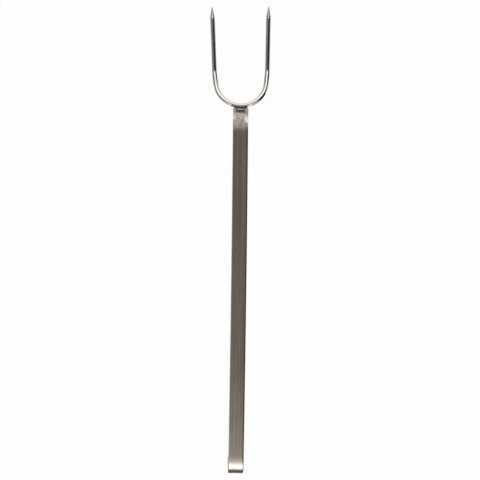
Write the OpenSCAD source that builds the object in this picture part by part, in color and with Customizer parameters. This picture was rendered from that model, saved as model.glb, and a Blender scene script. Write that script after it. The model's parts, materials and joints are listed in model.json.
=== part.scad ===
// Two-prong fork: a long flat strap handle with a hanging hook at one end,
// and one round rod bent to a U and welded across the other end.
// The fork lies on its back: +Y runs towards the points, +Z is up, and it stands
// on the hook and on the two tines at z = 0. All sizes are in millimetres.

/* [Handle strap] */
// Width of the flat strap
strap_w = 16; // [13:0.5:24]
// Thickness of the strap
strap_t = 3; // [2.4:0.2:5]
// Rounding along the strap's long edges
strap_edge_r = 1; // [0.2:0.1:1.4]
// Rounding of the corners at the strap's two cut ends, seen from above
end_corner_r = 0.8; // [0.3:0.1:2]
// Length of the strap's level part, between the hook and the neck
strap_len = 341; // [120:1:500]

/* [Neck] */
// Inside radius of the neck, where the strap dips towards the rod
neck_r = 140; // [60:5:250]
// Angle by which the neck dips
neck_a = 8; // [3:0.5:12]
// Straight length of strap past the neck
neck_end = 2; // [1:0.5:20]

/* [Hanging hook] */
// Inside radius of the hook, which takes a rail or a nail
hook_r = 5; // [4:0.5:14]
// Length of the hook's straight returned end
hook_leg = 8.7; // [3:0.1:30]
// Inside radius of the easy bend ahead of the hook
ease_r = 60; // [30:5:150]
// Angle of that easy bend
ease_a = 10; // [4:1:20]

/* [Rod] */
// Diameter of the round rod
rod_d = 4.8; // [4:0.2:7]
// Radius of the U, to the middle of the rod
u_r = 26.3; // [20:0.1:40]
// Angle by which each limb of the U opens outwards
limb_flare = 6.5; // [2:0.5:12]
// Length of each limb, from the U's round to the corner of the knee
limb_len = 12.9; // [8:0.1:30]
// Radius of the knee, to the middle of the rod
knee_r = 12; // [8:0.5:20]
// Length of each tine's full round, from the corner of the knee to its point
tine_len = 58.9; // [25:0.1:120]
// Angle by which each tine opens outwards
tine_flare = 1.65; // [0:0.05:4]
// Length of the ground point
point_len = 10.6; // [5:0.1:20]
// Diameter of the blunt at the very end of the point
point_d = 0.7; // [0.3:0.1:1.5]
// Angle by which the whole U is turned on the strap
fork_turn = 1.05; // [0:0.05:3]
// How far the U is set off to the right of the strap's middle
fork_shift = 0.2; // [0:0.05:1]

/* [Bends] */
// How much fuller strap and rod are in a bend than where they run straight
bend_swell = 0.02; // [0.01:0.01:0.05]

/* [Welds] */
// Gap between the strap's square end and the rod
butt_gap = 0.1; // [0.05:0.05:0.4]
// Gap left between a weld bead and what it joins
bead_gap = 0.03; // [0.02:0.01:0.1]
// Radius of the weld bead's round
bead_r = 2.5; // [2.2:0.1:4]
// How far behind the strap's end the bead's crest lies
bead_back = 0.9; // [0.3:0.1:2]
// Radius of the bead's curved run across the strap, seen from above
bead_bow = 14; // [10:0.5:30]
// Height of the bead's crest above the strap's face
bead_rise = 1.1; // [0.6:0.1:1.6]
// How much higher than the crest the bead's crown would rise if it weren't cut off
bead_crown = 0.4; // [0.2:0.1:1]
// How far the bead reaches down between the strap's end and the rod
bead_root = 0.5; // [0.2:0.1:1]

/* [Grinding] */
// Radius of the wheel that dressed the strap's edges beside the weld
wheel_r = 40; // [20:1:80]
// Angle at which the wheel leaned over each edge
wheel_a = 5.7; // [3:0.1:10]
// Width of the hollow that it left on the right edge
right_hollow_w = 4.6; // [2:0.1:6]
// Distance from the strap's end to the middle of that hollow
right_hollow_at = 9.6; // [7:0.1:20]
// Width of the hollow on the left edge
left_hollow_w = 1.8; // [1:0.1:4]
// Distance from the strap's end to the middle of the left hollow
left_hollow_at = 7.5; // [5:0.1:20]

/* [Hidden] */
$fn = 72;
// Anything that cuts right through reaches this far past the face
past = 1;
weld_colour = [0.40, 0.34, 0.31];
rod_r = rod_d / 2;
half_w = strap_w / 2;
half_t = strap_t / 2;
// The hook is bent hardest and swells most, on every side of the strap
hook_swell = 2 * bend_swell;
// Radii of the strap's bends, to the middle of its thickness
neck_mid_r = neck_r + half_t + bend_swell;
ease_mid_r = ease_r + half_t + bend_swell;
hook_mid_r = hook_r + half_t + hook_swell;
// Straight metal runs this far into a bend, where the bend's swell still covers it
lap = sqrt(bend_swell * (hook_r + strap_t) / 2);

// Middle of the hook's round, on the axis of its seat: the hook stands on the table
hook_z = hook_r + strap_t + 2 * hook_swell;
hook_y = (hook_mid_r - ease_mid_r) * sin(ease_a);
// Height of the strap's middle
strap_z = hook_z + hook_mid_r * cos(ease_a) + ease_mid_r * (1 - cos(ease_a));
// Middle of the rod where the strap's end meets it
joint_run = neck_end + butt_gap + rod_r;
rod_y = strap_len + neck_mid_r * sin(neck_a) + joint_run * cos(neck_a);
rod_z = strap_z - neck_mid_r * (1 - cos(neck_a)) - joint_run * sin(neck_a);

// The U leans down so far that its tines lie on the table
tine_z = rod_r + bend_swell;
u_run = u_r * (1 - sin(limb_flare)) + limb_len * cos(limb_flare);
u_lean = asin((rod_z - tine_z) / u_run);
// Directions of one limb and of one tine, as seen on the right-hand side
u_up = [0, cos(u_lean), -sin(u_lean)];
to_right = [1, 0, 0];
limb_dir = sin(limb_flare) * to_right + cos(limb_flare) * u_up;
tine_dir = [sin(tine_flare), cos(tine_flare), 0];
// Ends of the U's round and of the limb, from the middle of the rod at the weld
u_middle = u_r * u_up;
limb_start = u_middle + u_r * (cos(limb_flare) * to_right - sin(limb_flare) * u_up);
knee_corner = limb_start + limb_len * limb_dir;
knee_cos = limb_dir * tine_dir;
knee_cut = knee_r * tan(acos(knee_cos) / 2);
point_start = knee_corner + tine_len * tine_dir;
point_end = point_start + point_len * tine_dir;

// The origin is below the middle of the fork: halfway between its outermost sides
// and halfway between its points and the hook
function turned(p) = [p[0] * cos(fork_turn) - p[1] * sin(fork_turn),
    p[0] * sin(fork_turn) + p[1] * cos(fork_turn)];
function left(p) = [-p[0], p[1], p[2]];
function round_reach(a) = rod_r * cos(a);
right_side = fork_shift + turned(point_start)[0] + round_reach(tine_flare - fork_turn);
left_side = fork_shift + turned(left(point_start))[0] - round_reach(tine_flare + fork_turn);
front_end = rod_y + turned(point_end)[1] + point_d / 2 * sin(tine_flare);
back_end = hook_y - hook_r - strap_t - 2 * hook_swell;
mid_x = (right_side + left_side) / 2;
mid_y = (front_end + back_end) / 2;

// Crest of the bead above the strap's middle, and the crown that lets the bead
// run out at its two ends, just short of the strap's edges
bead_top = half_t + bead_rise;
bead_half = half_w - end_corner_r;
crown_drop = bead_crown + bead_rise + bead_root / 2;
crown_r = (bead_half * bead_half + crown_drop * crown_drop) / (2 * crown_drop);

function unit(v) = v / norm(v);

// Section of the strap, with its width along X and its thickness along Y
module strap_section(swell = 0) {
    core_w = strap_w - 2 * strap_edge_r;
    core_t = strap_t - 2 * strap_edge_r;
    square([strap_w + 2 * swell, core_t], center = true);
    square([core_w, strap_t + 2 * swell], center = true);
    for (x = [-1, 1], y = [-1, 1])
        translate([x * core_w / 2, y * core_t / 2])
            circle(r = strap_edge_r + swell);
}

// Straight strap along +Y, from one place to another
module strap_run(from_y, to_y) {
    translate([0, from_y, 0])
        rotate([-90, 0, 0])
            linear_extrude(to_y - from_y)
                strap_section();
}

// Strap that sets out along +Y from y = 0 and bends down by an angle
module strap_bend(r, a, swell) {
    translate([0, 0, -r])
        rotate([0, -90, 0])
            rotate_extrude(angle = a)
                translate([r, 0])
                    rotate(90)
                        strap_section(swell);
}

// Moves what follows to the end of such a bend
module after_bend(r, a) {
    translate([0, 0, -r])
        rotate([-a, 0, 0])
            translate([0, 0, r])
                children();
}

// The neck's end and the hook, each as it follows the strap's level part
module neck() {
    strap_bend(neck_mid_r, neck_a, bend_swell);
    after_bend(neck_mid_r, neck_a)
        strap_run(-lap, neck_end);
}

module hook() {
    lap_a = lap / ease_mid_r * 180 / PI;
    strap_bend(ease_mid_r, ease_a + lap_a, bend_swell);
    after_bend(ease_mid_r, ease_a) {
        strap_bend(hook_mid_r, 180 - ease_a, hook_swell);
        after_bend(hook_mid_r, 180 - ease_a)
            strap_run(-lap, hook_leg);
    }
}

// What a strap's end at y = 0 loses when its two corners are rounded
module end_corners() {
    for (side = [0, 1])
        mirror([side, 0, 0])
            translate([half_w - end_corner_r, -end_corner_r, -strap_t])
                difference() {
                    cube([end_corner_r + past, end_corner_r + past, 2 * strap_t]);
                    translate([0, 0, -past])
                        cylinder(r = end_corner_r, h = 2 * strap_t + 2 * past);
                }
}

// The hollow that the wheel left on the strap's right edge: it rolled lengthwise
module edge_hollow(w, at) {
    translate([half_w - w, -at, half_t])
        rotate([0, wheel_a, 0])
            translate([0, 0, wheel_r])
                rotate([0, 90, 0])
                    cylinder(r = wheel_r, h = strap_w);
}

// The joint's own frame: the strap's end face is at y = 0 and the strap lies behind it
module at_joint() {
    translate([-mid_x, strap_len - mid_y, strap_z])
        after_bend(neck_mid_r, neck_a)
            translate([0, neck_end, 0])
                children();
}

module handle_strap() {
    color([0.42, 0.39, 0.36])
    difference() {
        translate([-mid_x, -mid_y, strap_z]) {
            strap_run(-lap, strap_len + lap);
            translate([0, strap_len, 0])
                neck();
            mirror([0, 1, 0])
                hook();
        }
        at_joint() {
            end_corners();
            edge_hollow(right_hollow_w, right_hollow_at);
            mirror([1, 0, 0])
                edge_hollow(left_hollow_w, left_hollow_at);
        }
        translate([-mid_x, hook_y + hook_leg - mid_y, hook_z - hook_mid_r])
            end_corners();
    }
}

// Lays what it holds at a point, with its own +Z along a direction
module along(p, z_dir) {
    x_dir = unit(cross(z_dir, [0, 0, 1]));
    y_dir = cross(z_dir, x_dir);
    multmatrix([[x_dir[0], y_dir[0], z_dir[0], p[0]],
            [x_dir[1], y_dir[1], z_dir[1], p[1]],
            [x_dir[2], y_dir[2], z_dir[2], p[2]]])
        children();
}

// The rod's own frame: its middle at the weld is at the origin
module at_rod() {
    translate([fork_shift - mid_x, rod_y - mid_y, rod_z])
        rotate([0, 0, fork_turn])
            children();
}

// The round of the U, with the rod's swell in the bend
module u_round(d) {
    rotate([-u_lean, 0, 0])
        translate([0, u_r, 0])
            rotate([0, 0, limb_flare - 180])
                rotate_extrude(angle = 180 - 2 * limb_flare)
                    translate([u_r, 0])
                        circle(d = d + 2 * bend_swell);
}

// The bend between a limb and its tine
module knee() {
    out_dir = unit(limb_dir * knee_cos - tine_dir);
    axis_dir = cross(out_dir, limb_dir);
    c = knee_corner - knee_cut * limb_dir - knee_r * out_dir;
    multmatrix([[out_dir[0], limb_dir[0], axis_dir[0], c[0]],
            [out_dir[1], limb_dir[1], axis_dir[1], c[1]],
            [out_dir[2], limb_dir[2], axis_dir[2], c[2]]])
        rotate_extrude(angle = acos(knee_cos))
            translate([knee_r, 0])
                circle(r = rod_r + bend_swell);
}

// A tine along +Z, from just inside the knee to its blunt point
module tine() {
    full_len = tine_len - knee_cut + lap;
    rotate_extrude()
        polygon([[0, 0], [rod_r, 0], [rod_r, full_len],
            [point_d / 2, full_len + point_len], [0, full_len + point_len]]);
}

// Right-hand limb with its knee and its tine
module limb_and_tine() {
    along(limb_start - lap * limb_dir, limb_dir)
        cylinder(r = rod_r, h = limb_len - knee_cut + 2 * lap);
    knee();
    along(knee_corner + (knee_cut - lap) * tine_dir, tine_dir)
        tine();
}

module prong_rod() {
    color([0.66, 0.65, 0.63])
    at_rod() {
        u_round(rod_d);
        limb_and_tine();
        mirror([1, 0, 0])
            limb_and_tine();
    }
}

// A full bead in the joint's frame: it runs across the strap in a curve, like the
// U's own round, and its crown falls away at both ends
module full_bead() {
    reach = 2 * asin((bead_half + past) / bead_bow);
    intersection() {
        translate([0, bead_bow - bead_back, bead_top - bead_r])
            rotate([0, 0, -90 - reach / 2])
                rotate_extrude(angle = reach)
                    translate([bead_bow, 0])
                        circle(r = bead_r);
        translate([0, strap_w / 2, bead_top + bead_crown - crown_r])
            rotate([90, 0, 0])
                cylinder(r = crown_r, h = strap_w);
    }
}

// What a bead on the front face leaves free: the strap and all below the bead's root
module around_bead() {
    translate([-half_w - past, -strap_w, -half_t - bead_gap])
        cube([strap_w + 2 * past, strap_w + bead_gap, strap_t + 2 * bead_gap]);
    translate([-strap_w, -strap_w, half_t - bead_root - strap_w])
        cube([2 * strap_w, 2 * strap_w, strap_w]);
}

// A bead on one face of the strap: face 0 is the front and face 1 the back
module weld_bead(face) {
    difference() {
        at_joint()
            mirror([0, 0, face])
                difference() {
                    full_bead();
                    around_bead();
                }
        at_rod()
            u_round(rod_d + 2 * bead_gap);
    }
}

module front_weld() {
    color(weld_colour)
        weld_bead(0);
}

module back_weld() {
    color(weld_colour)
        weld_bead(1);
}

handle_strap();
prong_rod();
front_weld();
back_weld();
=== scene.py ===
# %% [markdown]
# # Dressing a two-prong fork
#
# This is the looks of an old steel meat fork. Its handle is a flat bar with a hanging hook,
# and its prongs are one round rod, bent to a U and welded across the handle's end.
# The bars at their real sizes come first, as a fixed frame that nothing here moves.
# Around that frame we model each piece again by hand, with the small things that a plain
# solid leaves out, and give it the steel that it is made of.

# %% Load the frame
import json
from math import acos, asin, cos, pi, radians, sin, sqrt, tan

import bmesh
import bpy
from mathutils import Matrix, Vector


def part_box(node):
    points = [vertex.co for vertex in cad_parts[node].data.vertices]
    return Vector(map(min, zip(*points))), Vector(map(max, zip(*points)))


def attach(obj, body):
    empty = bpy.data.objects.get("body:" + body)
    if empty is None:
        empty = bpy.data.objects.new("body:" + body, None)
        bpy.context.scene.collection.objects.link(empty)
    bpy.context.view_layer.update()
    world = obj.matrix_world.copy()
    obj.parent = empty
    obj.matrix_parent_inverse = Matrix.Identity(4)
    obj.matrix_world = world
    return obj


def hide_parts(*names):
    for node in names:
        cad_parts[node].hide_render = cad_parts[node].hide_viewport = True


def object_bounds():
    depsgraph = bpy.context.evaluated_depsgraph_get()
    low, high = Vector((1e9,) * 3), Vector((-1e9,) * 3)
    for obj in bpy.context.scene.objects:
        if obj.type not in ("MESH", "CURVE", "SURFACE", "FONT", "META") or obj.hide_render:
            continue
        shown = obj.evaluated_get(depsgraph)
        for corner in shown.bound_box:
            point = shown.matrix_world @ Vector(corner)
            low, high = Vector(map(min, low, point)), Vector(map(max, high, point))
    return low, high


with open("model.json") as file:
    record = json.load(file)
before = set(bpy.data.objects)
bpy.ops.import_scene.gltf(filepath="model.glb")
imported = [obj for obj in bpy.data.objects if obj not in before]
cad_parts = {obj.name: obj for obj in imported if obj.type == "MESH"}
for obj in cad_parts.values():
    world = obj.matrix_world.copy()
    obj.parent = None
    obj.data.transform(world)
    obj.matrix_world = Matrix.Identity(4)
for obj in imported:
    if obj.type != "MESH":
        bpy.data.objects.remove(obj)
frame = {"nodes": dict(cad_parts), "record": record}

cad_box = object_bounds()
for name in sorted(frame["nodes"]):
    low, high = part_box(name)
    print(name, "spans", [round(1000 * side, 2) for side in high - low], "mm")

# %% [markdown]
# ## Sizes
#
# Everything is in metres. The places come from the frame: the hook's seat and the handle's
# two faces are mounts in the record, and the rod's box says where its U meets the handle.
# The rest are the bar stock's own sizes and the radii that it was bent to. Some are a little
# off the frame's, because a hand-made fork isn't as regular as its drawing: the filed
# corners and the knees are rounder, and the U sits 0.2 mm further to the right and is turned
# by 0.2 degrees more.

# %% Sizes of the strap
MM = 0.001
mounts = {mount["name"]: mount for mount in frame["record"]["mounts"]}
mid_x, seat_y, seat_z = mounts["hook_seat"]["pos_m"]
face_z = mounts["handle_face"]["pos_m"][2]
back_z = mounts["handle_back"]["pos_m"][2]

strap_w = 16 * MM
strap_t = face_z - back_z
strap_z = (face_z + back_z) / 2
half_w = strap_w / 2
edge_r = 1 * MM
corner_r = 1.2 * MM

ease_a = radians(10)
ease_mid_r = 61.52 * MM
hook_mid_r = mounts["hook_seat"]["dims"]["r_mm"] * MM + strap_t / 2 + 0.04 * MM
hook_leg = 8.7 * MM
level_len = 341 * MM
neck_a = radians(8)
neck_mid_r = 141.52 * MM
neck_end = 2 * MM

level_start = seat_y + (ease_mid_r - hook_mid_r) * sin(ease_a)
level_end = level_start + level_len
print("strap", round(strap_w / MM, 2), "x", round(strap_t / MM, 2), "mm, level for",
      round(level_len / MM, 1), "mm")

# %% Sizes of the rod
rod_r = 2.4 * MM
u_r = 26.3 * MM
limb_flare = radians(6.5)
limb_len = 12.9 * MM
knee_r = 24 * MM
tine_len = 58.9 * MM
tine_flare = radians(1.65)
point_len = 10.6 * MM
point_r = 0.35 * MM
fork_turn = radians(1.22)
fork_shift = 0.42 * MM

# The rod's bends in the frame are fuller than its straight parts by this much
swell = 0.02 * MM
rod_low, rod_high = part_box("prong_rod")
rod_at = Vector((mid_x + fork_shift, rod_low.y + rod_r + swell, rod_high.z - rod_r - swell))
u_run = u_r * (1 - sin(limb_flare)) + limb_len * cos(limb_flare)
u_lean = asin((rod_at.z - rod_r - swell) / u_run)
print("the U meets the strap at", [round(v / MM, 2) for v in rod_at], "mm and leans by",
      round(u_lean * 180 / pi, 2), "degrees")

# %% [markdown]
# ## Growing a bar, ring by ring
#
# A bent bar could be a curve with a profile, but a curve can't have a hollow ground in it or
# a point at its end. So each bar is grown as a smith would feed it: its section is drawn once,
# as a ring of edges, and then pushed out along straight runs and spun round bends.
#
# Brushing follows a bar round its bends, while a pattern in space would run straight through
# them. So each vertex also remembers where it was on the straight bar, in an attribute
# named bar: across, along and through. Extrude and spin copy it from ring to ring, and
# after each step we add that step's length to its middle number.

# %% Draw a section
TINY = 0.001 * MM


def add_ring(name, width, height, at, segments):
    """Draws a bar's section as a ring of edges across the Y axis, in edit mode."""
    bpy.ops.object.select_all(action="DESELECT")
    bpy.ops.mesh.primitive_plane_add(size=1, location=at, rotation=(pi / 2, 0, 0))
    piece = bpy.context.object
    piece.name = name
    piece.data.name = name
    bpy.ops.object.transform_apply(location=True, rotation=True, scale=False)
    bpy.ops.object.mode_set(mode="EDIT")
    bpy.ops.transform.resize(value=(width, 1, height), center_override=at)
    bpy.ops.mesh.bevel(offset=edge_r, segments=segments, affect="VERTICES")
    return piece

# %% Reach into the open mesh
def edit_mesh():
    """The mesh that is open in edit mode."""
    return bmesh.from_edit_mesh(bpy.context.object.data)


def show_edits():
    """Tells Blender that the open mesh was changed from code."""
    bmesh.update_edit_mesh(bpy.context.object.data)


def pick(test):
    """Selects the vertices whose place passes a test, and what lies between them."""
    bpy.ops.mesh.select_mode(type="VERT")
    bpy.ops.mesh.select_all(action="DESELECT")
    mesh = edit_mesh()
    for vertex in mesh.verts:
        vertex.select = test(vertex.co)
    mesh.select_flush(True)
    show_edits()

# %% Remember the straight bar
def start_bar(at):
    """Keeps each vertex's place in the section as its place on the straight bar."""
    mesh = edit_mesh()
    bar = mesh.verts.layers.float_vector.new("bar")
    for vertex in mesh.verts:
        vertex[bar] = (vertex.co.x - at[0], 0, vertex.co.z - at[2])
    show_edits()


def mark(length):
    """The ring that was just made lies this much further along the straight bar."""
    mesh = edit_mesh()
    bar = mesh.verts.layers.float_vector["bar"]
    for vertex in mesh.verts:
        if vertex.select:
            vertex[bar] += Vector((0, length, 0))
    show_edits()

# %% Push and spin
def run(way, length, steps, sense=1):
    """Pushes the selected ring straight on, in equal steps. A sense of -1 counts backwards."""
    for _ in range(steps):
        bpy.ops.mesh.extrude_region_move(TRANSFORM_OT_translate={"value": way * length / steps})
        mark(sense * length / steps)


def bend(centre, axis, angle, radius, steps, sense=1):
    """Spins the selected ring round an axis. The radius is the one to the bar's middle."""
    for _ in range(steps):
        # The operator turns clockwise for a positive angle, so the sign is changed here
        bpy.ops.mesh.spin(steps=1, angle=-angle / steps, center=centre, axis=axis)
        mark(sense * radius * abs(angle) / steps)

# %% [markdown]
# ## Handing a piece over
#
# Each piece ends in the same way. Its doubled vertices are merged and its faces are turned
# outwards, it is shaded smooth but for its real edges, and it gets its steel. Then it moves
# with the fork, and it is shown in the place of the plain solid that it stands for.

# %% Finish a piece
def finish_piece(piece, node, material, angle=35):
    """Closes edit mode, cleans the mesh and puts the piece in its node's place."""
    bpy.ops.mesh.select_all(action="SELECT")
    bpy.ops.mesh.remove_doubles(threshold=TINY)
    bpy.ops.mesh.normals_make_consistent(inside=False)
    bpy.ops.object.mode_set(mode="OBJECT")
    bpy.ops.object.shade_smooth_by_angle(angle=radians(angle))
    piece.data.materials.clear()
    piece.data.materials.append(material)
    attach(piece, "root")
    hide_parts(node)
    print(piece.name, "has", len(piece.data.polygons), "faces")

# %% [markdown]
# ## Nodes for the finishes
#
# Every finish here is worked out by nodes. A helper adds a node and sets its inputs, and
# another one lays noise on the bar: stretched along it, noise becomes brush lines.

# %% Add nodes
def new_finish(name):
    """An empty material with its shader and its output."""
    material = bpy.data.materials.new(name)
    material.use_nodes = True
    tree = material.node_tree
    tree.nodes.clear()
    shader = tree.nodes.new("ShaderNodeBsdfPrincipled")
    output = tree.nodes.new("ShaderNodeOutputMaterial")
    tree.links.new(shader.outputs[0], output.inputs["Surface"])
    return material, tree, shader


def put(tree, kind, settings=None, **inputs):
    """Adds a node. An input is given by its name, as a number, a colour or a socket."""
    node = tree.nodes.new("ShaderNode" + kind)
    for key, value in (settings or {}).items():
        setattr(node, key, value)
    for key, value in inputs.items():
        socket = node.inputs[int(key[1:])] if key[0] == "_" else node.inputs[key.replace("_", " ")]
        if isinstance(value, bpy.types.NodeSocket):
            tree.links.new(value, socket)
        else:
            socket.default_value = value
    return node

# %% Sums, ramps and noise
def calc(tree, what, first, second=0.0):
    """One sum, product or comparison."""
    return put(tree, "Math", {"operation": what}, _0=first, _1=second).outputs[0]


def ramp(tree, value, low, high, out_low=0.0, out_high=1.0):
    """Eases from one value to another while the input goes from low to high."""
    settings = {"interpolation_type": "SMOOTHSTEP"}
    node = put(tree, "MapRange", settings, Value=value, From_Min=low, From_Max=high,
               To_Min=out_low, To_Max=out_high)
    return node.outputs["Result"]


def noise(tree, place, scale, detail=2.0, rough=0.5, warp=0.0):
    """Noise from 0 to 1, with its own number of lumps a metre along each axis."""
    mapping = put(tree, "Mapping", Vector=place, Scale=scale)
    node = put(tree, "TexNoise", Vector=mapping.outputs[0], Scale=1.0, Detail=detail,
               Roughness=rough, Distortion=warp)
    return node.outputs["Fac"]

# %% Colours and bumps
def blend(tree, factor, first, second):
    """Mixes two colours."""
    settings = {"data_type": "RGBA"}
    return put(tree, "Mix", settings, _0=factor, _6=first, _7=second).outputs[2]


def bump(tree, height, depth, under=None):
    """Tilts the surface by a height, on top of an earlier bump."""
    inputs = {"Height": height, "Distance": depth, "Strength": 1.0}
    if under is not None:
        inputs["Normal"] = under
    return put(tree, "Bump", **inputs).outputs[0]

# %% [markdown]
# ## The strap's steel
#
# The handle is flat bar, brushed along its length and dulled by years of hands. Three things
# make it: brush lines that spread light across the strap and not along it, blotches of
# slightly different grey, and a few long scratches that catch the light.
# The spreading itself is anisotropy. Its direction is the X axis, because the strap
# only ever bends about that axis. Its right rim is darkened as painted shade, and the hook is
# lightened as a painted highlight.
#
# Next to the weld, two more things happened to the strap: a wheel dressed it, which left it
# brighter and cloudy, and the weld's heat coloured it, from straw to violet brown. The dark
# brown and near black at the weld's toe are partly heat tint and partly painted shade.
# All of this could be painted, but noise that reads the bar's own length follows the bends
# and needs no picture.

# %% Heat tint and painted shade
weld_y = rod_at.y - rod_r
toe_y = weld_y - 2.9 * MM
print("the weld lies from y =", round(toe_y / MM, 1), "to", round(weld_y / MM, 1), "mm")


def heat_tint_and_shade(tree, colour, distance, amount):
    """Colours the steel by its distance to the weld: straw, then brown, then near black. The straw is
    heat tint; the brown and the near black are partly heat tint and partly painted shade.
    """
    straw = blend(tree, ramp(tree, distance, 5.5 * MM, 2.0 * MM, 0.0, 0.25 * amount), colour,
                  (0.46, 0.36, 0.27, 1))
    brown = blend(tree, ramp(tree, distance, 2.6 * MM, 0.9 * MM, 0.0, 0.95 * amount), straw,
                  (0.095, 0.062, 0.050, 1))
    # The near black is painted shade in the crevice at the weld
    return blend(tree, ramp(tree, distance, 1.5 * MM, 0.4 * MM, 0.0, 0.9 * amount), brown,
                 (0.040, 0.030, 0.026, 1))


def ragged(tree, value, clouds, depth):
    """Moves a boundary to and fro by the noise of the clouds."""
    shift = calc(tree, "MULTIPLY", calc(tree, "SUBTRACT", clouds, 0.5), depth)
    return calc(tree, "ADD", value, shift)


def from_middle(tree, x):
    """How far a place lies to the side of the handle's middle."""
    return calc(tree, "ABSOLUTE", calc(tree, "SUBTRACT", x, mid_x))

# %% Colours of the strap
def strap_colour(tree, bar, lines, clouds, dressed, fresh_by):
    """The colour of the strap, before the weld's heat."""
    section = put(tree, "SeparateXYZ", Vector=bar).outputs

    # Two hues of grey, blotches, streaks, brush lines and scratches
    blotches = noise(tree, bar, (90, 22, 90), detail=4.0, rough=0.55, warp=0.6)
    streaks = noise(tree, bar, (620, 5, 620), detail=1.0)
    hues = noise(tree, bar, (240, 28, 240), detail=2.0, warp=1.0)
    scratch = ramp(tree, noise(tree, bar, (1500, 9, 1500), detail=0.0), 0.68, 0.78)
    grey = blend(tree, ramp(tree, hues, 0.35, 0.65), (0.64, 0.54, 0.46, 1), (0.60, 0.565, 0.455, 1))
    grey = blend(tree, ramp(tree, blotches, 0.3, 0.7, 0.0, 0.5), grey, (0.76, 0.68, 0.60, 1))
    grey = blend(tree, ramp(tree, streaks, 0.36, 0.64, 0.0, 0.5), grey, (0.40, 0.355, 0.295, 1))
    grey = blend(tree, calc(tree, "MULTIPLY", lines, 0.35), grey, (0.38, 0.34, 0.285, 1))
    grey = blend(tree, calc(tree, "MULTIPLY", scratch, 0.3), grey, (0.86, 0.80, 0.74, 1))

    # Painted shade on the dark right rim and on its edge, and a painted highlight on the hook
    rim_shade = ragged(tree, section["X"], streaks, 1.2 * MM)
    rim_shade = ramp(tree, rim_shade, half_w - 1.9 * MM, half_w - 1.1 * MM, 0.0, 0.75)
    grey = blend(tree, rim_shade, grey, (0.15, 0.14, 0.10, 1))
    right_edge_shade = ramp(tree, section["X"], half_w - 0.9 * MM, half_w - 0.4 * MM, 0.0, 0.9)
    grey = blend(tree, right_edge_shade, grey, (0.07, 0.065, 0.05, 1))
    # A painted highlight: the hook's steel is made lighter so that it shows brighter
    hook_highlight = ramp(tree, section["Y"], -4 * MM, -10 * MM, 0.0, 0.7)
    grey = blend(tree, hook_highlight, grey, (0.74, 0.71, 0.70, 1))

    # Where the wheel dressed it, brightest a few millimetres below the weld
    ground = blend(tree, ramp(tree, clouds, 0.35, 0.65), (0.62, 0.56, 0.52, 1), (0.86, 0.80, 0.76, 1))
    ground = blend(tree, calc(tree, "MULTIPLY", streaks, 0.3), ground, (0.50, 0.45, 0.41, 1))
    fresh = ramp(tree, fresh_by, 10.5 * MM, 7 * MM, 0.0, 0.35)
    fresh = calc(tree, "MULTIPLY", fresh, ramp(tree, fresh_by, 2 * MM, 5 * MM))
    ground = blend(tree, fresh, ground, (0.96, 0.91, 0.87, 1))
    return blend(tree, dressed, grey, ground)

# %% Strap steel
def make_strap_steel():
    """Brushed flat bar, dressed and tinted at its cut end."""
    material, tree, shader = new_finish("strap_steel")
    bar = put(tree, "Attribute", {"attribute_name": "bar"}).outputs["Vector"]
    place = put(tree, "TexCoord").outputs["Object"]
    xyz = put(tree, "SeparateXYZ", Vector=place)

    lines = noise(tree, bar, (1500, 16, 1500), detail=3.0, rough=0.7)
    clouds = noise(tree, bar, (300, 210, 300), detail=3.0, rough=0.6, warp=1.2)

    # The wheel dressed the strap near the weld, and left bright metal in its hollows
    edge = ragged(tree, xyz.outputs["Y"], clouds, 7 * MM)
    dressed = ramp(tree, edge, toe_y - 23 * MM, toe_y - 13 * MM)
    fresh_by = calc(tree, "SUBTRACT", toe_y, edge)
    colour = strap_colour(tree, bar, lines, clouds, dressed, fresh_by)
    wheel = put(tree, "Attribute", {"attribute_name": "pressed"}).outputs["Fac"]
    wheel = ramp(tree, wheel, 0.02 * MM, 0.12 * MM)
    colour = blend(tree, wheel, colour, (0.93, 0.90, 0.86, 1))

    # The heat tint and painted shade follow the weld's toe, and fade out towards the strap's edges
    side = from_middle(tree, xyz.outputs["X"])
    retreat = ramp(tree, side, 3.5 * MM, 7 * MM, 0.0, 2.4 * MM)
    distance = calc(tree, "SUBTRACT", toe_y - 0.9 * MM, xyz.outputs["Y"])
    distance = calc(tree, "ADD", distance, retreat)
    distance = ragged(tree, distance, clouds, 2.2 * MM)
    tinted_and_shaded = heat_tint_and_shade(tree, colour, distance, 0.76)
    leftward = from_middle(tree, calc(tree, "ADD", xyz.outputs["X"], 0.3 * MM))
    reach = ramp(tree, ragged(tree, leftward, clouds, 3 * MM), 2.6 * MM, 8.2 * MM, 1.0, 0.15)
    colour = blend(tree, reach, colour, tinted_and_shaded)
    tree.links.new(colour, shader.inputs["Base Color"])

    # Dressed metal is rougher and mirrors less, but the hollows were cut smooth
    rough = calc(tree, "ADD", 0.24, calc(tree, "MULTIPLY", lines, 0.10))
    rough = calc(tree, "ADD", rough, calc(tree, "MULTIPLY", dressed, 0.26))
    rough = calc(tree, "SUBTRACT", rough, calc(tree, "MULTIPLY", wheel, 0.28))
    tree.links.new(rough, shader.inputs["Roughness"])
    bare = calc(tree, "SUBTRACT", 0.86, calc(tree, "MULTIPLY", dressed, 0.30))
    bare = calc(tree, "MAXIMUM", bare, wheel)
    tree.links.new(bare, shader.inputs["Metallic"])
    shader.inputs["Anisotropic"].default_value = 0.85
    across = put(tree, "CombineXYZ", X=1.0, Y=0.0, Z=0.0).outputs[0]
    tree.links.new(across, shader.inputs["Tangent"])

    shape = bump(tree, lines, 0.012 * MM)
    uneven = calc(tree, "MULTIPLY", dressed, calc(tree, "SUBTRACT", 1.0, wheel))
    shape = bump(tree, calc(tree, "MULTIPLY", clouds, uneven), 0.10 * MM, under=shape)
    tree.links.new(shape, shader.inputs["Normal"])
    return material


strap_steel = make_strap_steel()
print("strap steel has", len(strap_steel.node_tree.nodes), "nodes")

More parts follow.
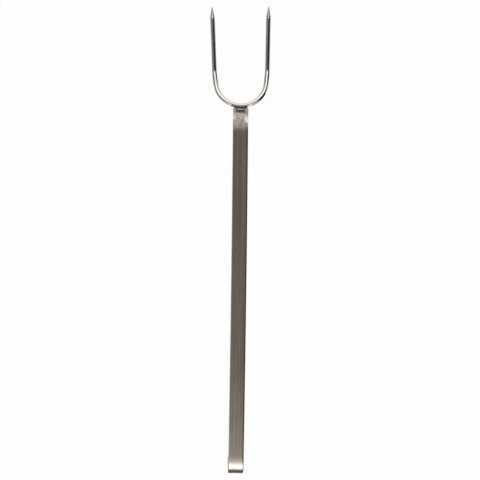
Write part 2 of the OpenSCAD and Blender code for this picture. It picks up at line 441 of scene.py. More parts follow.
# %% [markdown]
# ## The strap
#
# We draw the section where the strap leaves the hook, with 1 mm roundings on its four
# edges. The top gets many columns, because the wheel's hollows are pressed into it later.
# From there the level part runs towards the prongs, with close rings near the joint.

# %% The strap's section and its level part
strap_at = Vector((mid_x, level_start, strap_z))
strap = add_ring("strap", strap_w, strap_t, strap_at, segments=6)


def is_flat_edge(edge, side):
    """One of the section's two long edges, at its top or at its bottom."""
    wanted = strap_z + side * strap_t / 2
    level = all(abs(vertex.co.z - wanted) < TINY for vertex in edge.verts)
    return level and edge.calc_length() > strap_w / 2


top_cuts, bottom_cuts = 39, 9
for side, cuts in ((1, top_cuts), (-1, bottom_cuts)):
    bpy.ops.mesh.select_mode(type="EDGE")
    bpy.ops.mesh.select_all(action="DESELECT")
    for edge in edit_mesh().edges:
        edge.select = is_flat_edge(edge, side)
    show_edits()
    bpy.ops.mesh.subdivide(number_cuts=cuts)

bpy.ops.mesh.select_mode(type="VERT")
bpy.ops.mesh.select_all(action="SELECT")
bpy.ops.mesh.delete(type="ONLY_FACE")
start_bar(strap_at)
bpy.ops.mesh.select_all(action="SELECT")
ahead = Vector((0, 1, 0))
fine_len = 12 * MM
run(ahead, level_end - level_start - fine_len, steps=80)
run(ahead, fine_len, steps=24)
print("the strap's ring has", sum(v.select for v in edit_mesh().verts), "points")

# %% [markdown]
# ## The neck and the cut end
#
# The strap dips by 8 degrees before it meets the rod. A spin about a line below it makes
# that dip. At the cut end, the corners were filed round: the last 1.2 mm is four short
# steps, each a little narrower than the one before, so that the corner follows a circle.

# %% Close the strap's ends
def round_off(way, middle, steps, sense=1):
    """Ends a bar with corners that are rounded as seen from above, and closes it."""
    reach, width = 0.0, half_w
    for step in range(1, steps + 1):
        turn = pi / 2 * step / steps
        run(way, corner_r * sin(turn) - reach, 1, sense)
        narrow = half_w - corner_r * (1 - cos(turn))
        bpy.ops.transform.resize(value=(narrow / width, 1, 1), center_override=(middle, 0, 0))
        reach, width = corner_r * sin(turn), narrow
    bpy.ops.mesh.edge_face_add()


across = Vector((1, 0, 0))
bend(Vector((mid_x, level_end, strap_z - neck_mid_r)), across, -neck_a, neck_mid_r, steps=40)
neck_way = Vector((0, cos(neck_a), -sin(neck_a)))
run(neck_way, neck_end - corner_r, steps=3)
round_off(neck_way, mid_x, steps=4)
print("the strap's end is at y =", round(max(v.co.y for v in edit_mesh().verts) / MM, 2), "mm")

# %% [markdown]
# ## The hanging hook
#
# The hook grows from the first ring, the other way: an easy bend of 10 degrees, then the tight
# one round the seat. The returned leg of the real hook peeks out on the left by
# less than a millimetre, because the bar ran off a little while it was bent. So each step of
# the tight bend is also nudged sideways.

# %% Bend the hook
hook_skew = 0.8 * MM
hook_steps = 34

pick(lambda p: abs(p.y - level_start) < TINY)
ease_centre = Vector((mid_x, level_start, strap_z - ease_mid_r))
bend(ease_centre, across, ease_a, ease_mid_r, steps=8, sense=-1)
seat = Vector((mid_x, seat_y, seat_z))
for _ in range(hook_steps):
    bend(seat, across, (pi - ease_a) / hook_steps, hook_mid_r, steps=1, sense=-1)
    bpy.ops.transform.translate(value=(-hook_skew / hook_steps, 0, 0))
run(ahead, hook_leg - corner_r, steps=8, sense=-1)
print("the hook's leg lies at z =", round(min(v.co.z for v in edit_mesh().verts) / MM, 2), "mm")
round_off(ahead, mid_x - hook_skew, steps=4, sense=-1)

# %% [markdown]
# ## Ground hollows and a bar that isn't perfect
#
# After welding, a wheel leaned over each edge of the strap and left a shallow hollow there:
# a wide one on the right, a narrow one on the left. Each vertex of the top that would stick
# into the wheel is pressed down to it, and remembers how far in an attribute named pressed,
# by which the steel knows where the metal is freshly cut.
#
# Then the bar gets its slight unevenness. No reflection in a real bar is ruler straight,
# because rolling leaves long, low waves of some hundredths of a millimetre. This one is
# also bowed to the right by less than half a millimetre along its middle.

# %% Grind the hollows
# Which edge, its sign, the width, the middle's distance from the cut end, the wheel's radius
hollows = (
    ("right", 1, 4.3 * MM, 10.0 * MM, 64 * MM),
    ("left", -1, 2.5 * MM, 8.5 * MM, 60 * MM),
)
wheel_lean = radians(6.2)
bar_len = level_end - level_start + neck_a * neck_mid_r + neck_end


def press(vertex, bar, pressed, side, width, at, radius):
    """Lowers a vertex of the top to the wheel, whose middle is so far from the cut end."""
    across, along, through = vertex[bar]
    reach = side * across - (half_w - width)
    off = bar_len - along - at
    depth = reach * tan(wheel_lean) - off ** 2 / (2 * radius)
    sunk = through - (strap_t / 2 - depth)
    if depth <= 0 or sunk <= 0 or through < 0 or vertex.co.y < level_start:
        return False
    vertex.co.z -= sunk
    vertex[pressed] = sunk
    return True


mesh = edit_mesh()
pressed = mesh.verts.layers.float.new("pressed")
bar = mesh.verts.layers.float_vector["bar"]
for name, *wheel in hollows:
    count = sum(press(vertex, bar, pressed, *wheel) for vertex in mesh.verts)
    print("the wheel pressed down", count, "points on the", name)
show_edits()

# %% Roll in the waves and the bow
wave_height = 0.03 * MM
waves = ((71 * MM, 0.3), (113 * MM, 1.9), (47 * MM, 4.1))
wave_fade = 20 * MM
bow = 0.38 * MM

mesh = edit_mesh()
bar = mesh.verts.layers.float_vector["bar"]
for vertex in mesh.verts:
    if level_start < vertex.co.y < level_end and vertex.co.z > back_z - TINY:
        to_end = min(vertex.co.y - level_start, level_end - vertex.co.y)
        fade = min(1, to_end / wave_fade)
        swing = sum(sin(2 * pi * vertex[bar].y / length + phase) for length, phase in waves)
        vertex.co.z += wave_height / len(waves) * fade * (swing - len(waves))
        share = (vertex.co.y - level_start) / (level_end - level_start)
        vertex.co.x += bow * sin(pi * share)
show_edits()
finish_piece(strap, "handle_strap", strap_steel)

# %% [markdown]
# ## The rod's steel
#
# The rod is drawn bar, brighter and smoother than the strap, with fine lines along it that
# follow its bends. Along its outer side where the weld is, it is heat tinted and darkened
# with painted shade, near black at the joint. Its two points were ground, so they are duller
# and rougher than the rest, with fine rings round them.

# %% Rod steel
tip_y = rod_high.y
# On each side of the joint: where the heat tint and painted shade begin to fade, where they end, and
# how far they move off
tint_and_shade_ends = ((6.5 * MM, 8.5 * MM, 6 * MM), (-9.0 * MM, -12 * MM, 6 * MM))


def make_rod_steel():
    """Drawn round bar, tinted at the joint and ground at its points."""
    material, tree, shader = new_finish("rod_steel")
    bar = put(tree, "Attribute", {"attribute_name": "bar"}).outputs["Vector"]
    place = put(tree, "TexCoord").outputs["Object"]
    xyz = put(tree, "SeparateXYZ", Vector=place)

    lines = noise(tree, bar, (800, 12, 800), detail=2.0, rough=0.6)
    smudge = noise(tree, bar, (300, 90, 300), detail=3.0, rough=0.55, warp=0.8)
    rings = noise(tree, bar, (120, 2400, 120), detail=2.0)
    point_y = tip_y - point_len
    ground = ramp(tree, xyz.outputs["Y"], point_y - 0.8 * MM, point_y + 0.2 * MM)

    steel = blend(tree, ramp(tree, smudge, 0.3, 0.7), (0.57, 0.56, 0.51, 1), (0.66, 0.65, 0.60, 1))
    steel = blend(tree, calc(tree, "MULTIPLY", lines, 0.2), steel, (0.42, 0.40, 0.37, 1))
    dull = blend(tree, rings, (0.34, 0.33, 0.32, 1), (0.46, 0.45, 0.435, 1))
    colour = blend(tree, ground, steel, dull)

    # Heat tint and painted shade on the rod's outer side at the joint, fading out to each side
    aside = calc(tree, "SUBTRACT", xyz.outputs["X"], mid_x)
    height = calc(tree, "ADD", put(tree, "SeparateXYZ", Vector=bar).outputs["X"], rod_r)
    height = calc(tree, "SUBTRACT", calc(tree, "MULTIPLY", height, 1.8), 1.2 * MM)
    for near, far, away in tint_and_shade_ends:
        height = calc(tree, "ADD", height, ramp(tree, aside, near, far, 0.0, away))
    colour = heat_tint_and_shade(tree, colour, ragged(tree, height, smudge, 1.2 * MM), 1.0)
    tree.links.new(colour, shader.inputs["Base Color"])

    rough = calc(tree, "ADD", 0.07, calc(tree, "MULTIPLY", lines, 0.04))
    rough = calc(tree, "ADD", rough, calc(tree, "MULTIPLY", smudge, 0.05))
    rough = calc(tree, "ADD", rough, calc(tree, "MULTIPLY", ground, 0.22))
    tree.links.new(rough, shader.inputs["Roughness"])
    shader.inputs["Metallic"].default_value = 1.0

    shape = bump(tree, lines, 0.001 * MM)
    shape = bump(tree, calc(tree, "MULTIPLY", rings, ground), 0.012 * MM, under=shape)
    tree.links.new(shape, shader.inputs["Normal"])
    return material


rod_steel = make_rod_steel()
print("rod steel has", len(rod_steel.node_tree.nodes), "nodes")

# %% [markdown]
# ## The prongs
#
# The rod is symmetric, so only its right half is grown and the rest is its mirror image.
# It starts as a circle at the bottom of the U. A spin makes a quarter of the round, a
# run makes the limb, a short spin makes the knee, and another run makes the tine.
# All of it is in the rod's own frame, with the middle of the joint at the origin.

# %% Bend the U
u_up = Vector((0, cos(u_lean), -sin(u_lean)))
u_axis = Vector((0, sin(u_lean), cos(u_lean)))
limb_dir = sin(limb_flare) * across + cos(limb_flare) * u_up
tine_dir = Vector((sin(tine_flare), cos(tine_flare), 0))
u_middle = u_r * u_up
limb_start = u_middle + u_r * (cos(limb_flare) * across - sin(limb_flare) * u_up)
knee_corner = limb_start + limb_len * limb_dir
knee_a = acos(limb_dir.dot(tine_dir))
knee_cut = knee_r * tan(knee_a / 2)

bpy.ops.object.select_all(action="DESELECT")
bpy.ops.mesh.primitive_circle_add(vertices=48, radius=rod_r, rotation=(0, pi / 2, 0))
rod = bpy.context.object
rod.name = "rod"
rod.data.name = "rod"
bpy.ops.object.transform_apply(location=False, rotation=True, scale=False)
bpy.ops.object.mode_set(mode="EDIT")
mesh = edit_mesh()
bar = mesh.verts.layers.float_vector.new("bar")
for vertex in mesh.verts:
    vertex[bar] = (vertex.co.y, 0, vertex.co.z)
show_edits()
bpy.ops.mesh.select_all(action="SELECT")
bend(u_middle, u_axis, pi / 2 - limb_flare, u_r, steps=48)
print("the quarter round ends at", [round(v / MM, 2) for v in limb_start], "mm")

# %% Run out the limb and the tine
def middle_of_selected():
    """The middle of the ring that was made last."""
    chosen = [vertex.co for vertex in edit_mesh().verts if vertex.select]
    return sum(chosen, Vector()) / len(chosen)


off_by = (middle_of_selected() - limb_start).length
print("the ring's middle is off the sum by", round(off_by / MM, 4), "mm")
run(limb_dir, limb_len - knee_cut, steps=6)
out_dir = (limb_dir * cos(knee_a) - tine_dir).normalized()
knee_centre = knee_corner - knee_cut * limb_dir - knee_r * out_dir
bend(knee_centre, out_dir.cross(limb_dir), knee_a, knee_r, steps=10)
run(tine_dir, tine_len - knee_cut, steps=24)

# %% [markdown]
# ## The pressed round
#
# The rod was bent round a former, and that pressed its section in the round a little oval:
# a quarter of a millimetre wider on each side, in the plane of the U. It begins beside the
# joint, so that the welds still sit on a true round bar, and fades out in the limb.

# %% Press the round oval
oval_by = 0.25 * MM
oval_from = 9 * MM
oval_full = 16 * MM
oval_until = 32 * MM
oval_end = 42 * MM

mesh = edit_mesh()
bar = mesh.verts.layers.float_vector["bar"]
moved = 0
for vertex in mesh.verts:
    across_bar, along, _ = vertex[bar]
    grown = (along - oval_from) / (oval_full - oval_from)
    faded = (oval_end - along) / (oval_end - oval_until)
    share = min(grown, faded, 1)
    inward = u_middle - vertex.co
    inward -= inward.dot(u_axis) * u_axis
    if share > 0:
        vertex.co += oval_by * share * across_bar / rod_r * inward.normalized()
        moved += 1
show_edits()
print("pressing the round moved", moved, "points")

# %% [markdown]
# ## The points
#
# Each tine was ground to a point by rolling it against a wheel. A hand-ground point is
# not a true cone: it bulges a little, and its very end is blunt. So the last rings shrink
# along a curve that is slightly fuller than a straight line.

# %% Grind the points
point_steps = 14
fullness = 0.9

thick = rod_r
for step in range(1, point_steps + 1):
    run(tine_dir, point_len / point_steps, 1)
    left = 1 - step / point_steps
    slim = point_r + (rod_r - point_r) * left ** fullness
    middle = middle_of_selected()
    bpy.ops.transform.resize(value=(slim / thick,) * 3, center_override=middle)
    thick = slim
bpy.ops.mesh.edge_face_add()
bpy.ops.mesh.bevel(offset=0.12 * MM, segments=3)
bpy.ops.object.mode_set(mode="OBJECT")
print("each tine is ground over its last", round(point_len / MM, 1), "mm")

# %% [markdown]
# ## The whole rod
#
# The half is mirrored, and its two halves are joined at the bottom of the U. On the left
# the bar's length has to count the other way, or the brush lines would meet as in a mirror.
# The finished rod is then turned and carried to the joint, and its place goes into its mesh.

# %% Mirror the rod and set it on the joint
bpy.ops.object.modifier_add(type="MIRROR")
rod.modifiers["Mirror"].merge_threshold = TINY
bpy.ops.object.modifier_apply(modifier="Mirror")
straight = rod.data.attributes["bar"].data
for vertex in rod.data.vertices:
    if vertex.co.x < 0:
        straight[vertex.index].vector.y *= -1
bpy.ops.transform.rotate(value=-fork_turn, orient_axis="Z", center_override=(0, 0, 0))
bpy.ops.transform.translate(value=rod_at)
bpy.ops.object.transform_apply(location=True, rotation=True, scale=True)
bpy.ops.object.mode_set(mode="EDIT")
finish_piece(rod, "prong_rod", rod_steel)

# %% [markdown]
# ## Weld metal
#
# A hand weld is a row of overlapping ripples, one for each pause of the hand. Its metal
# is duller than the bars and brown to violet where it oxidised. Its toe is darkened by that
# oxide and by painted shade, and the crevice beside the rod is near black with painted shade,
# so the crest stays a little brighter.

# %% Weld metal
def make_weld_metal():
    """Filler metal, darkened at its toe by oxide tint and painted shade, and near black with painted
    shade in the crevice beside the rod.
    """
    material, tree, shader = new_finish("weld_metal")
    place = put(tree, "TexCoord").outputs["Object"]
    xyz = put(tree, "SeparateXYZ", Vector=place)
    specks = noise(tree, place, (1400, 1400, 1400), detail=4.0, rough=0.65)
    clouds = noise(tree, place, (420, 420, 420), detail=3.0, rough=0.6, warp=0.8)
    crest = blend(tree, clouds, (0.22, 0.19, 0.175, 1), (0.38, 0.345, 0.325, 1))

    y = ragged(tree, xyz.outputs["Y"], clouds, 0.7 * MM)
    side = from_middle(tree, xyz.outputs["X"])
    # The toe is darkened partly by oxide tint and partly as painted shade
    toe_tint_and_shade = ramp(tree, y, toe_y + 1.0 * MM, toe_y + 0.1 * MM)
    toe_tint_and_shade = calc(tree, "MULTIPLY", toe_tint_and_shade, ramp(tree, side, 4.0 * MM, 6.8 * MM, 1.0, 0.4))
    colour = blend(tree, toe_tint_and_shade, crest, (0.075, 0.056, 0.048, 1))
    # Painted shade: the crevice beside the rod is near black
    round_by = calc(tree, "DIVIDE", calc(tree, "POWER", side, 2.0), 2 * (u_r + rod_r))
    into = calc(tree, "SUBTRACT", y, round_by)
    crevice_shade = ramp(tree, into, weld_y - 0.7 * MM, weld_y - 0.1 * MM)
    colour = blend(tree, crevice_shade, colour, (0.018, 0.015, 0.012, 1))
    tree.links.new(colour, shader.inputs["Base Color"])
    tree.links.new(ramp(tree, specks, 0.2, 0.8, 0.34, 0.55), shader.inputs["Roughness"])
    shader.inputs["Metallic"].default_value = 0.9
    tree.links.new(bump(tree, specks, 0.04 * MM), shader.inputs["Normal"])
    return material


weld_metal = make_weld_metal()
print("weld metal has", len(weld_metal.node_tree.nodes), "nodes")

# %% [markdown]
# ## The two welds
#
# One bead lies on each face of the joint. Each is grown like a bar, as a ring that runs
# across the strap in a shallow curve like the U's own. Every few rings the bead swells and
# falls off again, which makes the ripples, and towards its ends it sinks away.
# Then what the strap and the rod fill is cut off its underside, so it sits on them.
# Both beads are drawn in the joint's own frame, whose origin is the middle of the cut end.

# %% Sizes of a bead
bead_r = 2.5 * MM
bead_back = 0.9 * MM
bead_bow = 14 * MM
bead_rise = 1.1 * MM
bead_crown = 0.4 * MM
bead_root = 0.5 * MM
bead_gap = 0.03 * MM
ripple_count = 11
ripple_rings = 6

bead_top = strap_t / 2 + bead_rise
bead_half = half_w - corner_r
crown_drop = bead_crown + bead_rise + bead_root / 2
crown_r = (bead_half ** 2 + crown_drop ** 2) / (2 * crown_drop)

joint = Matrix.Translation((mid_x, level_end, strap_z - neck_mid_r))
joint @= Matrix.Rotation(-neck_a, 4, "X")
joint @= Matrix.Translation((0, neck_end, neck_mid_r))
print("the joint is at", [round(v / MM, 2) for v in joint.translation], "mm")

# %% Grow a bead
def ring_of_bead(x, ripple):
    """Middle and radius of the bead's ring at one place across the strap."""
    sunk = max(0, crown_r - sqrt(crown_r ** 2 - x ** 2) - bead_crown)
    y = bead_bow - bead_back - sqrt(bead_bow ** 2 - x ** 2)
    return Vector((x, y, bead_top - bead_r - sunk)), bead_r * (1 - 0.035 * ripple)


def grow_bead(name):
    """A rippled bead in the joint's frame, closed at both ends."""
    bpy.ops.object.select_all(action="DESELECT")
    middle, thick = ring_of_bead(-bead_half, 1)
    bpy.ops.mesh.primitive_circle_add(vertices=40, radius=thick, rotation=(0, pi / 2, 0),
                                      location=middle)
    piece = bpy.context.object
    piece.name = name
    piece.data.name = name
    bpy.ops.object.transform_apply(location=True, rotation=True, scale=False)
    bpy.ops.object.mode_set(mode="EDIT")
    bpy.ops.mesh.edge_face_add()
    steps = ripple_count * ripple_rings
    for step in range(1, steps + 1):
        ripple = (step % ripple_rings) / ripple_rings
        x = -bead_half + 2 * bead_half * step / steps
        centre, radius = ring_of_bead(x, ripple ** 2)
        bpy.ops.mesh.extrude_region_move(TRANSFORM_OT_translate={"value": centre - middle})
        scale = (1, radius / thick, radius / thick)
        bpy.ops.transform.resize(value=scale, center_override=centre)
        middle, thick = centre, radius
    return piece


front_bead = grow_bead("weld_bead_front")
bpy.ops.object.mode_set(mode="OBJECT")
back_bead = front_bead.copy()
back_bead.data = front_bead.data.copy()
back_bead.name = "weld_bead_back"
back_bead.data.name = "weld_bead_back"
bpy.context.collection.objects.link(back_bead)
print("a bead has", len(front_bead.data.polygons), "faces before it is cut")

# %% Shapes that cut the beads
def cutter_block(name, low, high):
    """A block between two corners in the joint's frame."""
    bpy.ops.object.select_all(action="DESELECT")
    bpy.ops.mesh.primitive_cube_add(size=1, location=(low + high) / 2)
    block = bpy.context.object
    block.name = name
    block.scale = high - low
    bpy.ops.object.transform_apply(location=True, rotation=True, scale=True)
    block.data.transform(joint)
    return block


def cutter_round():
    """The U's round, fatter than the rod by the gap."""
    bpy.ops.object.select_all(action="DESELECT")
    bpy.ops.mesh.primitive_torus_add(major_segments=288, minor_segments=48, major_radius=u_r,
                                     minor_radius=rod_r + swell + bead_gap)
    torus = bpy.context.object
    turn = Matrix.Translation(rod_at) @ Matrix.Rotation(fork_turn, 4, "Z")
    torus.data.transform(turn @ Matrix.Translation(u_middle) @ Matrix.Rotation(-u_lean, 4, "X"))
    return torus

# %% Seat the beads
def cut(piece, cutter):
    """Takes the cutter's space away from the piece."""
    bpy.ops.object.select_all(action="DESELECT")
    bpy.context.view_layer.objects.active = piece
    piece.select_set(True)
    bpy.ops.object.modifier_add(type="BOOLEAN")
    piece.modifiers["Boolean"].object = cutter
    piece.modifiers["Boolean"].solver = "EXACT"
    bpy.ops.object.modifier_apply(modifier="Boolean")
    bpy.data.objects.remove(cutter)


def seat_bead(piece, face, node):
    """Cuts a bead to the strap's and the rod's shape, on the front or on the back."""
    piece.data.transform(joint @ Matrix.Diagonal((1, 1, face, 1)))
    slab = Vector((half_w + 1 * MM, strap_w, strap_t / 2 + bead_gap))
    cut(piece, cutter_block("slab", -slab, Vector((slab.x, bead_gap, slab.z))))
    root = strap_t / 2 - bead_root
    low = Vector((-strap_w, -strap_w, -2 * strap_w if face > 0 else -root))
    high = Vector((strap_w, strap_w, root if face > 0 else 2 * strap_w))
    cut(piece, cutter_block("below_root", low, high))
    cut(piece, cutter_round())
    bpy.ops.object.mode_set(mode="EDIT")
    finish_piece(piece, node, weld_metal, angle=50)


seat_bead(front_bead, 1, "front_weld")
seat_bead(back_bead, -1, "back_weld")

# %% [markdown]
# ## The studio
#
# Steel shows what is around it, so the studio is most of its look. The floor and the
# world are white for the eye and for what the steel mirrors, whatever light falls on them.
# From below, the floor is clear, so that the fork's underside can be looked at.

# %% Floor
def lit_white(tree, strength):
    """White for the eye and for what the steel mirrors."""
    path = put(tree, "LightPath")
    seen = calc(tree, "MAXIMUM", path.outputs["Is Camera Ray"], path.outputs["Is Glossy Ray"])
    seen = calc(tree, "MAXIMUM", seen, path.outputs["Is Transmission Ray"])
    return calc(tree, "MULTIPLY", seen, strength)


floor_gap = 0.1 * MM
floor_white = 0.97

bpy.ops.object.select_all(action="DESELECT")
bpy.ops.mesh.primitive_plane_add(size=8, location=(0, 0, -floor_gap))
floor = bpy.context.object
floor.name = "floor"
paper = bpy.data.materials.new("paper")
paper.use_nodes = True
tree = paper.node_tree
tree.nodes.clear()
matt = put(tree, "BsdfDiffuse", Color=(0.9, 0.9, 0.9, 1))
shine = put(tree, "Emission", Color=(1, 1, 1, 1), Strength=1.0)
white = lit_white(tree, floor_white)
sheet = put(tree, "MixShader", _0=white, _1=matt.outputs[0], _2=shine.outputs[0])
clear = put(tree, "BsdfTransparent")
below = put(tree, "NewGeometry").outputs["Backfacing"]
sheet = put(tree, "MixShader", _0=below, _1=sheet.outputs[0], _2=clear.outputs[0])
put(tree, "OutputMaterial", Surface=sheet.outputs[0])
floor.data.materials.append(paper)
print("the floor is", floor.dimensions.x, "m wide")

# %% World
room_light = 0.6

world = bpy.data.worlds.new("white_room")
bpy.context.scene.world = world
world.use_nodes = True
tree = world.node_tree
tree.nodes.clear()
strength = calc(tree, "MAXIMUM", lit_white(tree, 1.0), room_light)
sky = put(tree, "Background", Color=(1, 1, 1, 1), Strength=strength)
put(tree, "OutputWorld", Surface=sky.outputs[0])
print("the room gives", room_light, "of a full light from all sides")

# %% [markdown]
# ## Cards round the fork
#
# Cards are boards that glow by themselves, and the steel mirrors them. The left one is
# grey and the right one is nearly black, which draws the light and the dark line down each
# tine. Another stands behind the hook, bright at its top alone, and one stands beyond the points.
# They are hidden from the camera itself, so that no view has one in its way.

# %% Make a card
card_white = (1.0, 0.98, 0.96, 1)


def glow_of(tree, strength, colour=card_white):
    """The shader of a card that gives off its own light, whatever falls on it."""
    light = put(tree, "Emission", Color=colour, Strength=strength)
    put(tree, "OutputMaterial", Surface=light.outputs[0])


def card(name, size, at, aim):
    """A plain card that faces a point. It shows in the steel and not to the camera."""
    bpy.ops.object.select_all(action="DESELECT")
    bpy.ops.mesh.primitive_plane_add(size=1)
    board = bpy.context.object
    board.name = name
    board.location = at
    board.rotation_mode = "QUATERNION"
    board.rotation_quaternion = (Vector(aim) - Vector(at)).to_track_quat("Z", "Y")
    board.scale = (size[0], size[1], 1)
    bpy.ops.object.transform_apply(location=True, rotation=True, scale=True)
    surface = bpy.data.materials.new(name)
    surface.use_nodes = True
    surface.node_tree.nodes.clear()
    board.data.materials.append(surface)
    board.visible_camera = False
    return surface.node_tree


def place_in_room(tree):
    """A point's place in the studio, along each axis."""
    return put(tree, "SeparateXYZ", Vector=put(tree, "TexCoord").outputs["Object"]).outputs

# %% Stand the cards
room_height = 2.2
room_side = 1.6
room_front = 1.9
far_y = 2.8
wall_len = 6
front_height = 1.3
front_half = 0.8
left_glow, left_hook_glow = 0.29, 0.85
right_glow, right_hook_glow, right_far_glow = 0.015, 1.0, 0.45
front_low_glow, front_top_glow = 0.08, 1.2
far_glow = 1.1

mid_height = Vector((0, 0, room_height / 2))
side_size = (wall_len, room_height)
tree = card("card_left", side_size, mid_height - room_side * across, mid_height)
place = place_in_room(tree)["Y"]
glow_of(tree, ramp(tree, place, -1.1, -0.1, left_hook_glow, left_glow))

tree = card("card_right", side_size, mid_height + room_side * across, mid_height)
place = place_in_room(tree)["Y"]
near_side = ramp(tree, place, -0.5, -0.9, right_glow, right_hook_glow)
far_side = ramp(tree, place, 0.9, 1.3, 0.0, right_far_glow)
glow_of(tree, calc(tree, "ADD", near_side, far_side))

front_mid = Vector((0, 0, front_height / 2))
tree = card("card_front", (2 * front_half, front_height), front_mid - room_front * ahead, front_mid)
place = place_in_room(tree)["Z"]
glow_of(tree, ramp(tree, place, 0.25, front_height, front_low_glow, front_top_glow))

tree = card("card_beyond", (2 * room_side, room_height), mid_height + far_y * ahead, mid_height)
glow_of(tree, far_glow)
print("the room is", 2 * room_side, "x", round(room_front + far_y, 2), "m between its cards")

# %% [markdown]
# ## Low strips beside the steel
#
# The rims of a round bar mirror the table, so on a white table they would vanish in it. In
# the photograph they are dark, as if dark things lay close by. So low strips stand a few
# millimetres beside the rod and behind the hook. They cast no shadow, shed no light on
# anything dull, and are hidden from the camera. One inside the U is bright instead of dark,
# for the white rim over the joint.

# %% Stand a strip behind the hook
def strip(name, length, height, at, facing, glow, colour=card_white):
    """A low card on the floor, so near to the steel that it shows in its edge alone."""
    at = Vector((at.x, at.y, height / 2))
    glow_of(card(name, (length, height), at, at + facing), glow, colour)
    board = bpy.context.object
    board.visible_shadow = False
    board.visible_diffuse = False


hook_gap = 4 * MM
hook_strip_len = 300 * MM
hook_strip_height = 18.5 * MM
hook_strip_glow = 0.06
warm = (1.0, 0.80, 0.72, 1)

behind = Vector((mid_x, cad_box[0].y - hook_gap, 0))
strip("strip_hook", hook_strip_len, hook_strip_height, behind, ahead, hook_strip_glow, warm)
print("a strip stands behind the hook at y =", round(behind.y / MM, 1), "mm")

# %% Stand strips beside the rod
rod_gap = 2 * MM
round_gap = 3 * MM
tine_strip = 3 * MM
limb_strip = 6.5 * MM
round_strip = 13 * MM
black, grey, bright = 0.02, 0.25, 1.6
to_table = Matrix.Translation(rod_at) @ Matrix.Rotation(fork_turn, 4, "Z")


def flank(name, start, end, height):
    """Two strips along a straight stretch of the rod: grey on its left, black on its right."""
    start, end = to_table @ start, to_table @ end
    start.z = end.z = 0
    along = (end - start).normalized()
    right = Vector((along.y, -along.x, 0))
    for side, word, glow in ((-1, "_left", grey), (1, "_right", black)):
        at = (start + end) / 2 + side * (rod_r + rod_gap) * right
        strip(name + word, (end - start).length + rod_gap, height, at, -side * right, glow)


knee_end = knee_corner + tine_dir * tine_len
for hand, name in ((-1, "left"), (1, "right")):
    mirror = Matrix.Diagonal((hand, 1, 1, 1))
    flank(name + "_tine", mirror @ knee_corner, mirror @ knee_end, tine_strip)
    flank(name + "_limb", mirror @ limb_start, mirror @ knee_corner, limb_strip)
print("strips lie along", round((knee_end - knee_corner).length / MM, 1), "mm of each tine")

# %% Stand strips at the round
outer_len = 24 * MM
inner_len = 12 * MM
inner_aside = 1.2 * MM
round_a = radians(45)

round_out = Vector((sin(round_a), -cos(round_a), 0))
outside = to_table @ (u_middle + (u_r + rod_r + round_gap) * round_out)
strip("round_right", outer_len, round_strip, outside, -round_out, black)
inside = rod_at + Vector((inner_aside, rod_r + round_gap, 0))
strip("round_inside", inner_len, round_strip, inside, -ahead, bright)
print("two more strips stand at the U's round")

# %% [markdown]
# ## The gap round the camera
#
# The flat strap mirrors what is straight above it: the dark gap between the lamps, where
# the camera is. One board over the fork stands for that gap. It is dark over the handle,
# bright over the hook and over the points, lighter towards the left and black towards the
# right. One patch of it is brighter still: the hollow on the strap's right edge mirrors it.

# %% Hang a board over the fork
gap_half = 1.0
gap_glow = 0.085
darkest_glow = 0.012
least_glow = 0.005
left_more = 0.3
grey_glow = 0.72
behind_glow = 1.08
points_glow = 1.0
patch_more = 1.6
middle_more = 0.04
handle_less = 0.11

tree = card("card_over", (2 * room_side, 2 * gap_half), (0, 0, room_height), (0, 0, 0))
over = place_in_room(tree)
dark_side = ramp(tree, over["X"], 0.25, 0.7, gap_glow, darkest_glow)
lit_side = ramp(tree, over["X"], -0.5, -1.3, 0.0, left_more)
hook_side = ramp(tree, over["Y"], -0.415, -0.50, 0.0, grey_glow - gap_glow)
back_side = ramp(tree, over["Y"], -0.68, -0.98, 0.0, behind_glow - grey_glow)
point_side = ramp(tree, over["Y"], 0.52, 0.85, 0.0, points_glow - gap_glow)
middle = ramp(tree, over["Y"], 0.05, -0.12, 0.0, middle_more)
handle_end = ramp(tree, over["Y"], -0.20, -0.36, 0.0, -handle_less)

patch_x = calc(tree, "MULTIPLY", ramp(tree, over["X"], 0.28, 0.42), ramp(tree, over["X"], 0.95, 0.7))
patch_y = calc(tree, "MULTIPLY", ramp(tree, over["Y"], 0.55, 0.62), ramp(tree, over["Y"], 0.84, 0.74))
patch = calc(tree, "MULTIPLY", calc(tree, "MULTIPLY", patch_x, patch_y), patch_more)

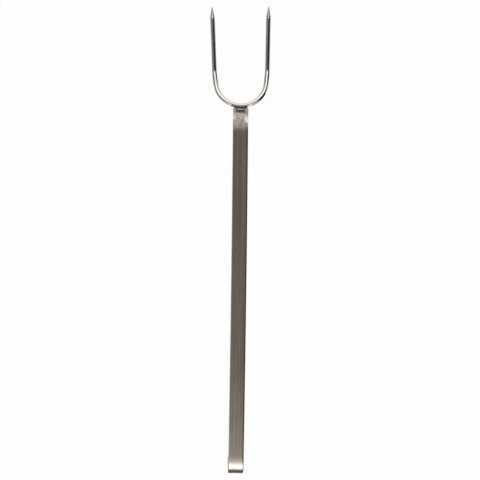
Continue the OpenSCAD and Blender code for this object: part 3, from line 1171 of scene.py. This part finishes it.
glow = dark_side
for more in (lit_side, hook_side, back_side, point_side, middle, handle_end, patch):
    glow = calc(tree, "ADD", glow, more)
glow_of(tree, calc(tree, "MAXIMUM", glow, least_glow))
print("the board over the fork is", 2 * room_side, "x", 2 * gap_half, "m")

# %% [markdown]
# ## The lamps
#
# The light itself comes from two large, even lamps, one on each side of that board: one
# beyond the points and one behind the hook. A lamp that is seen in steel must have the right
# brightness for the eye too, so its power is worked out from that and from its size.

# %% Soft boxes
beyond_glow = 0.62
behind_y = -2.2


def soft_box(name, low_y, high_y, glow):
    """A large, even lamp beside the board, as bright as it should look in the steel."""
    lamp = bpy.data.lights.new(name, "AREA")
    lamp.shape = "RECTANGLE"
    lamp.size = 2 * room_side
    lamp.size_y = high_y - low_y
    lamp.energy = glow * pi * lamp.size * lamp.size_y
    lamp.color = (1.0, 0.985, 0.975)
    holder = bpy.data.objects.new(name, lamp)
    bpy.context.collection.objects.link(holder)
    holder.location = (0, (low_y + high_y) / 2, room_height)
    holder.visible_camera = False
    print(name, "gives", round(lamp.energy, 1), "W")


soft_box("box_beyond_points", gap_half, far_y, beyond_glow)
soft_box("box_behind_hook", behind_y, -gap_half, behind_glow)

# %% [markdown]
# ## The camera
#
# The photograph was taken from straight above. In it the fork leans by 0.77 degrees,
# so the camera is rolled by as much. Its lens is set so that the fork fills as much of
# the frame's height as it does in the photograph.

# %% Camera
frame_px = 480
fork_px = 466.6
fork_len = cad_box[1].y - cad_box[0].y
camera_height = 2.0
sensor = 36
roll = radians(0.77)
centre = Vector((2.6 * MM, -0.6 * MM, 0))
# The fork's two ends lie at about this height over the table
ends_z = 5.2 * MM

lens = bpy.data.cameras.new("camera")
lens.sensor_width = sensor
lens.lens = sensor * (fork_px / frame_px) * (camera_height - ends_z) / fork_len
eye = bpy.data.objects.new("camera", lens)
bpy.context.collection.objects.link(eye)
eye.location = centre + Vector((0, 0, camera_height))
eye.rotation_euler = (0, 0, roll)
bpy.context.scene.camera = eye
print("the lens is", round(lens.lens, 1), "mm")

# %% [markdown]
# ## Finish
#
# The colours go out as they are.

# %% Finish
bpy.context.scene.view_settings.view_transform = "Standard"
bpy.ops.object.select_all(action="DESELECT")
